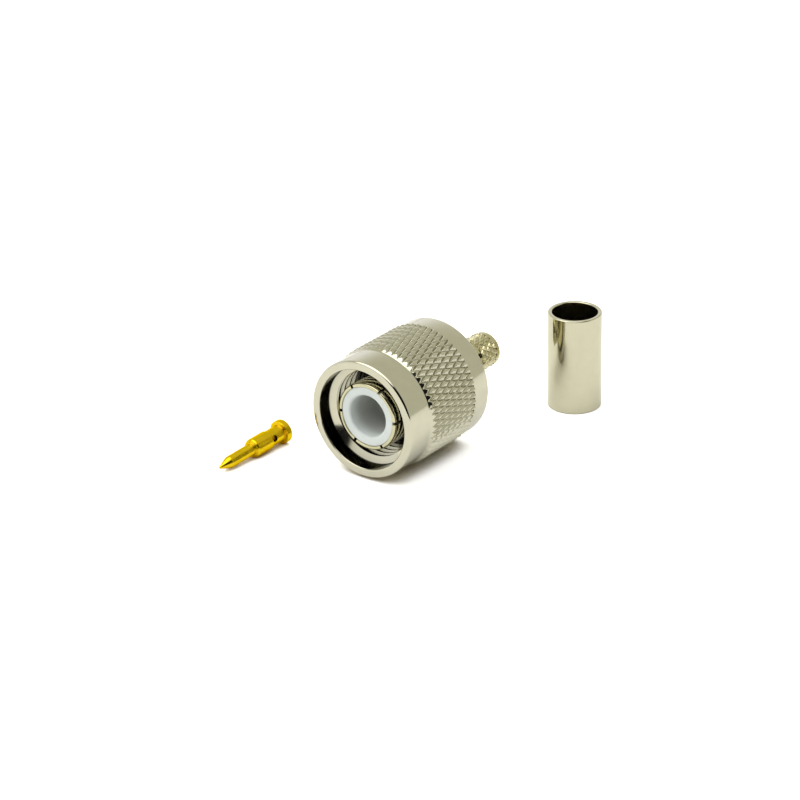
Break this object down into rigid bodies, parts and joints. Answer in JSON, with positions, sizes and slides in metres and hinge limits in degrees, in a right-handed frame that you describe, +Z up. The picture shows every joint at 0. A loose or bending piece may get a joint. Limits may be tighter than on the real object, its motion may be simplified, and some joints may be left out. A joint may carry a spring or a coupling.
{
  "type": "coaxial crimp plug",
  "caption": "Threaded coaxial crimp plug with a knurled coupling nut, its centre pin and crimp ferrule laid beside it, as supplied for crimping.",
  "frame": {"origin": "centre of the outer contact's front end, on the plug's axis", "axes": "-Y out of the plug's open end along its axis, +Y towards the cable stem, +Z up from the surface it lies on"},
  "size_m": [0.0264, 0.0422, 0.0148],
  "materials": {
    "nickel_nut": "nickel plate over turned and knurled brass",
    "nickel_body": "nickel plate over turned brass",
    "nickel_contact": "nickel plate over spring bronze",
    "insulator_white": "smooth white fluoropolymer",
    "spring_ring": "plain spring bronze",
    "gasket_rubber": "matt rubber",
    "gold_pin": "gold plate over turned brass",
    "nickel_ferrule": "nickel plate over drawn tube"
  },
  "bodies": {
    "plug": {"main_body": "nickel_body", "outer_contact": "nickel_contact", "insulator": "insulator_white", "retaining_ring": "spring_ring", "gasket": "gasket_rubber", "centre_pin": "gold_pin", "crimp_ferrule": "nickel_ferrule"},
    "nut": {"coupling_nut": "nickel_nut"}
  },
  "joints": [
    {"name": "nut_spin", "type": "hinge", "parent": "plug", "child": "nut", "pos_m": [0, 0, 0], "axis": [0, -1, 0], "continuous": true}
  ]
}
